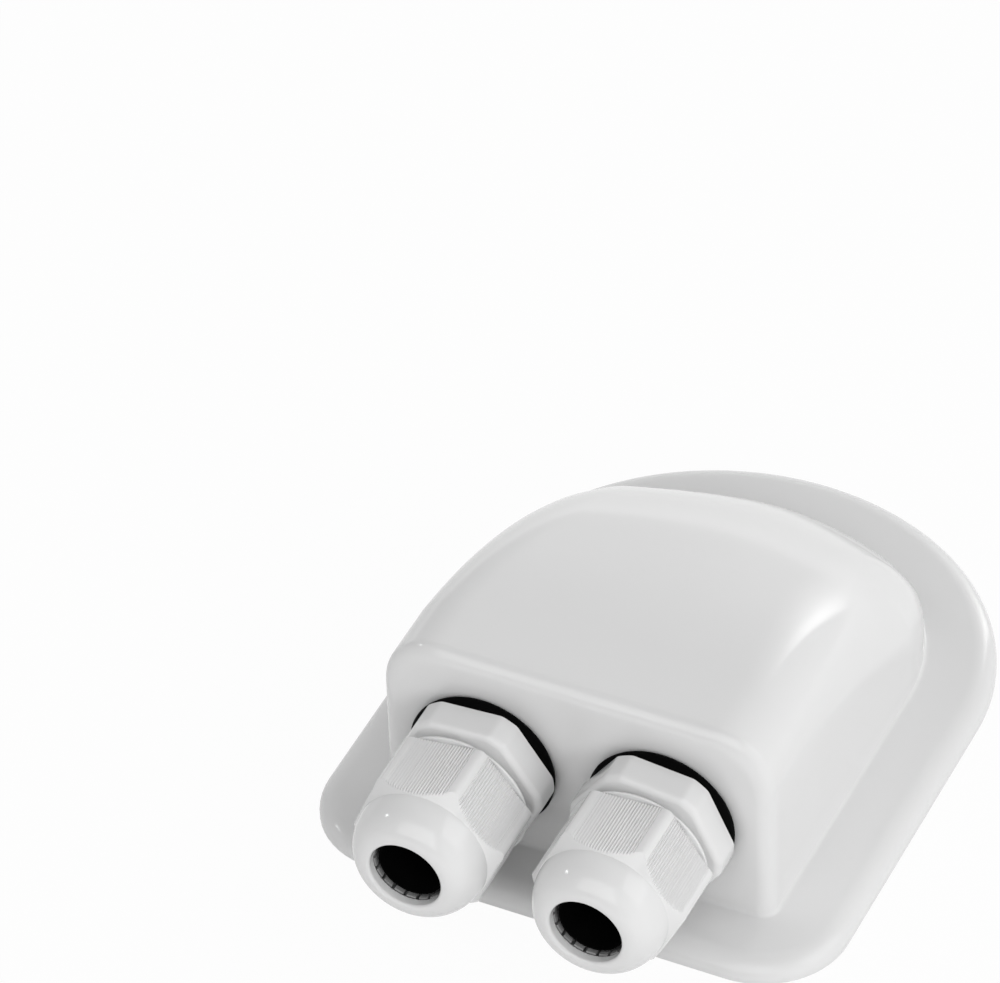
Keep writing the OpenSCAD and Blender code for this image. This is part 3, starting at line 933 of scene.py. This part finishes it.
def finish(name):
    """The named finish, made once."""
    made = bpy.data.materials.get(name)
    if made:
        return made
    looks = bpy.context.scene.entry_finishes
    if name not in MOULDINGS:
        return rubber(name, tuple(looks.rubber_colour), looks.rubber_gloss)
    tint, gloss, *skin = MOULDINGS[name]
    return moulding(name, tuple(getattr(looks, tint)), getattr(looks, gloss), *skin)


# Studio

LAMP_AIM = Vector((0.0, -0.01, 0.02))
LAMP_AWAY = 1.8
# Name: bearing, height, width and tallness in degrees as the object sees it, brightness of its face, and
# whether gloss shows it
LAMPS = {
    "front_softbox": (-2, 44, 56, 46, 1.4, True),
    "right_softbox": (104, 38, 46, 38, 1.1, True),
    "left_spot": (-84, 33, 6, 4.5, 9.0, True),
    "corner_fill": (50, 25, 25, 25, 4.2, False),
    "low_fill": (10, 10, 40, 16, 0.9, False),
    "rear_fill": (185, 20, 40, 16, 2.4, False),
}
# The bright window behind, in parts of a direction: its right edge and how soft that is, where it starts to
# fade to the left and over what span, the middle of its height and its spread
WINDOW_EDGE = 0.27
WINDOW_SOFT = 0.02
WINDOW_FULL = 0.174
WINDOW_FADE = 0.115
WINDOW_MIDDLE = 0.267
WINDOW_SPREAD = 0.25
# The floor: the share of plain white that the camera sees, its own grey, how far behind its level in gloss
# changes, how far within the flange its dark part ends, and how far it lies below the flange
FLOOR_WHITE = 0.96
FLOOR_TINT = 0.77
FLOOR_REACH = 0.4
FLOOR_HIDDEN = 12 * MM
FLOOR_DROP = 0.1 * MM
WHITE = (1, 1, 1, 1)
CLIP_NEAR = 0.05
CLIP_FAR = 50.0


def lamp(name, bearing, height, width, tall, brightness, in_gloss):
    """A softbox that faces the object. Its power is its brightness times pi times its area."""
    light = bpy.data.lights.new(name, "AREA")
    light.shape = "RECTANGLE"
    light.size = 2 * LAMP_AWAY * math.tan(math.radians(width / 2))
    light.size_y = 2 * LAMP_AWAY * math.tan(math.radians(tall / 2))
    light.energy = brightness * math.pi * light.size * light.size_y
    turn, lift = math.radians(bearing), math.radians(height)
    way = Vector((math.sin(turn) * math.cos(lift), -math.cos(turn) * math.cos(lift), math.sin(lift)))
    made = placed(name, light)
    made.location = LAMP_AIM + way * LAMP_AWAY
    made.rotation_euler = way.to_track_quat("Z", "Y").to_euler()
    made.visible_camera = False
    made.visible_glossy = in_gloss


def camera_rays(path):
    """1 for rays that show the surround itself: those of the camera and of glass."""
    return path["Is Camera Ray"].most(path["Is Transmission Ray"])


def window(across, along, lift):
    """A soft window behind the object, from 0 to 1: full from its right edge on, then falling as an
    exponential to the left, and a bell over the height."""
    edge = ((WINDOW_EDGE * along - across) * (1 / WINDOW_SOFT)).most(0.0).least(1.0)
    fade = ((WINDOW_FULL - across).most(0.0) * (-1 / WINDOW_FADE)).power_of_e()
    off = (lift - WINDOW_MIDDLE) * (1 / WINDOW_SPREAD)
    return edge * fade * (off * off * -1.0).power_of_e()


def surround(settings):
    """The world: white where the camera sees it. The light that it sheds has a level at the right, behind
    and at the left, and in between they add up by the square of the direction's part along each. The
    window is added."""
    world = bpy.data.worlds.new("studio")
    nodes = Nodes(world)
    way = nodes.add("ShaderNodeTexCoord")["Generated"]
    part = nodes.add("ShaderNodeSeparateXYZ", None, {"Vector": way})
    across, along, lift = part["X"], part["Y"], part["Z"]
    shed_level = (
        settings.at_right * across.most(0.0) * across.most(0.0)
        + settings.at_left * across.least(0.0) * across.least(0.0)
        + settings.behind * along.most(0.0) * along.most(0.0)
        + settings.window * window(across, along, lift)
    )
    shed = nodes.add("ShaderNodeBackground", None, {"Color": WHITE, "Strength": shed_level})["Background"]
    white = nodes.add("ShaderNodeBackground", None, {"Color": WHITE, "Strength": 1.0})["Background"]
    seen = camera_rays(nodes.add("ShaderNodeLightPath"))
    nodes.add("ShaderNodeOutputWorld", None, {"Surface": nodes.mix(seen, shed, white)})
    bpy.context.scene.world = world


def floor(settings):
    """A pale floor that is nearly white where it is seen and still takes the object's shadow. Under the box,
    within a straight front, straight sides and an elliptical arch, it is only as bright as the light that
    gets there."""
    half = settings.floor_size / 2
    corners = [(x, y, -FLOOR_DROP) for x, y in ((-half, -half), (half, -half), (half, half), (-half, half))]
    mesh = bpy.data.meshes.new("floor")
    mesh.from_pydata(corners, [], [(0, 1, 2, 3)])
    material = bpy.data.materials.new("floor_white")
    nodes = Nodes(material)
    grey = (FLOOR_TINT, FLOOR_TINT, FLOOR_TINT, 1)
    lit = nodes.add("ShaderNodeBsdfDiffuse", None, {"Color": grey})["BSDF"]
    white = nodes.add("ShaderNodeEmission", None, {"Color": WHITE})["Emission"]
    place = nodes.add("ShaderNodeTexCoord")["Object"]
    part = nodes.add("ShaderNodeSeparateXYZ", None, {"Vector": place})
    across, back = part["X"], part["Y"]
    share_back = (back * (1 / FLOOR_REACH)).most(0.0).least(1.0)
    middle = (HOUSING_LOW.y + HOUSING_HIGH.y) / 2
    wide = across * (1 / (HOUSING_HIGH.x - FLOOR_HIDDEN))
    arch = (back - middle).most(0.0) * (1 / (HOUSING_HIGH.y - FLOOR_HIDDEN - middle))
    under = (wide * wide + arch * arch).below(1.0) * back.above(HOUSING_LOW.y + FLOOR_HIDDEN)
    shine = nodes.add("ShaderNodeEmission", None, {
        "Color": nodes.blend(share_back, [settings.floor_gloss] * 3, [settings.floor_behind] * 3),
    })["Emission"]
    path = nodes.add("ShaderNodeLightPath")
    shown = nodes.mix(FLOOR_WHITE * camera_rays(path) * (1 - under), lit, white)
    mixed = nodes.mix(path["Is Glossy Ray"] * (1 - under), shown, shine)
    nodes.add("ShaderNodeOutputMaterial", None, {"Surface": mixed})
    mesh.materials.append(material)
    made = placed("floor", mesh)


def camera(settings):
    """The camera: it looks from its place to its aim point, rolled about its line of sight."""
    data = bpy.data.cameras.new("camera")
    data.lens = settings.lens
    data.clip_start = CLIP_NEAR
    data.clip_end = CLIP_FAR
    place = Vector(settings.camera_place)
    look = (Vector(settings.camera_aim) - place).to_track_quat("-Z", "Y").to_matrix()
    roll = Matrix.Rotation(settings.camera_roll, 3, "Z")
    made = placed("camera", data)
    made.matrix_world = Matrix.Translation(place) @ (look @ roll).to_4x4()
    bpy.context.scene.camera = made


# Operators

def make_pair(scene, piece, node, body, look, section, steps=TURN_STEPS):
    """Makes a piece on each gland from the rings that section gives for the angles and the side's name. They
    run along its outline, and the last is joined to the first. A body other than the base is the side's."""
    angles = around(steps)
    for name, side in SIDES.items():
        rings = section(scene, angles, name)
        shell = Shell()
        shell.add(on_axis(side, angles, [*rings, rings[0]]), closed=True)
        made = shell.piece(f"{name}_{piece}", finish(look))
        settle(made, f"{name}_{node}", body if body == "base" else f"{name}_{body}")


class MakeHousing(bpy.types.Operator):
    """Make the moulded housing with its flange and hood"""

    bl_idname = "roof_entry.make_housing"
    bl_label = "Housing"

    def execute(self, context):
        scene = context.scene
        hole_r = scene.entry_gland.shank_radius + scene.entry_gland.wall_room
        shell = housing_shell(scene.entry_housing, hole_r)
        settle(shell.piece("housing_moulding", finish("white_abs_gloss")), "housing", "base")
        return {"FINISHED"}


class MakeGlandBodies(bpy.types.Operator):
    """Make both gland bodies"""

    bl_idname = "roof_entry.make_gland_bodies"
    bl_label = "Gland bodies"

    def execute(self, context):
        make_pair(
            context.scene, "body_moulding", "gland_body", "base", "white_nylon_satin",
            gland_body_rings,
        )
        return {"FINISHED"}


class MakeDomeNuts(bpy.types.Operator):
    """Make both dome nuts"""

    bl_idname = "roof_entry.make_dome_nuts"
    bl_label = "Dome nuts"

    def execute(self, context):
        make_pair(
            context.scene, "nut_moulding", "dome_nut", "cap", "white_nylon_gloss",
            dome_nut_rings, NUT_STEPS,
        )
        return {"FINISHED"}


class MakeClaws(bpy.types.Operator):
    """Make both claws"""

    bl_idname = "roof_entry.make_claws"
    bl_label = "Claws"

    def execute(self, context):
        scene = context.scene
        for name, side in SIDES.items():
            shell = claw_shell(scene.entry_clamp, scene.entry_nut, side)
            # The claws get the grey finish that paints the shade inside the mouth.
            made = shell.piece(f"{name}_claw_moulding", finish("grey_nylon_satin"))
            settle(made, f"{name}_claw", f"{name}_clamp")
        return {"FINISHED"}


class MakeSeals(bpy.types.Operator):
    """Make both seals"""

    bl_idname = "roof_entry.make_seals"
    bl_label = "Seals"

    def execute(self, context):
        make_pair(
            context.scene, "seal_sleeve", "seal", "clamp", "black_rubber_matt", seal_rings
        )
        return {"FINISHED"}


class MakeGaskets(bpy.types.Operator):
    """Make both gaskets"""

    bl_idname = "roof_entry.make_gaskets"
    bl_label = "Gaskets"

    def execute(self, context):
        make_pair(
            context.scene, "gasket_ring", "gasket", "base", "black_rubber_matt", gasket_rings
        )
        return {"FINISHED"}


class MakeLocknuts(bpy.types.Operator):
    """Make both locknuts"""

    bl_idname = "roof_entry.make_locknuts"
    bl_label = "Locknuts"

    def execute(self, context):
        make_pair(
            context.scene, "locknut_moulding", "locknut", "base", "white_nylon_satin",
            locknut_rings,
        )
        return {"FINISHED"}


class MakeStage(bpy.types.Operator):
    """Make the camera, the floor, the surround and the lamps"""

    bl_idname = "roof_entry.make_stage"
    bl_label = "Stage"

    def execute(self, context):
        settings = context.scene.entry_studio
        camera(settings)
        floor(settings)
        surround(settings)
        for name, values in LAMPS.items():
            lamp(name, *values)
        context.scene.view_settings.view_transform = "Standard"
        return {"FINISHED"}


MAKERS = (
    MakeStage, MakeHousing, MakeGlandBodies, MakeDomeNuts, MakeClaws, MakeSeals, MakeGaskets, MakeLocknuts,
)
GROUPS = {
    "entry_housing": HousingSizes,
    "entry_gland": GlandSizes,
    "entry_nut": NutSizes,
    "entry_clamp": ClampSizes,
    "entry_finishes": Finishes,
    "entry_studio": StudioSettings,
}


class EntryPanel(bpy.types.Panel):
    """Sizes, finishes and makers of the roof entry box"""

    bl_idname = "VIEW3D_PT_roof_entry"
    bl_label = "Roof entry box"
    bl_space_type = "VIEW_3D"
    bl_region_type = "UI"
    bl_category = "Roof entry"

    def draw(self, context):
        for group, kind in GROUPS.items():
            box = self.layout.box()
            box.label(text=kind.__doc__)
            for key in kind.__annotations__:
                box.prop(getattr(context.scene, group), key)
        for maker in MAKERS:
            self.layout.operator(maker.bl_idname)


def register():
    """Registers the classes and puts the groups of sizes on the scene."""
    for kind in (*GROUPS.values(), *MAKERS, EntryPanel):
        bpy.utils.register_class(kind)
    for group, kind in GROUPS.items():
        setattr(bpy.types.Scene, group, PointerProperty(type=kind))


def unregister():
    """Takes back what register did."""
    for group in GROUPS:
        delattr(bpy.types.Scene, group)
    for kind in (EntryPanel, *reversed(MAKERS), *reversed(GROUPS.values())):
        bpy.utils.unregister_class(kind)


def main():
    register()
    for maker in MAKERS:
        group, name = maker.bl_idname.split(".")
        getattr(getattr(bpy.ops, group), name)()


if __name__ == "__main__":
    main()
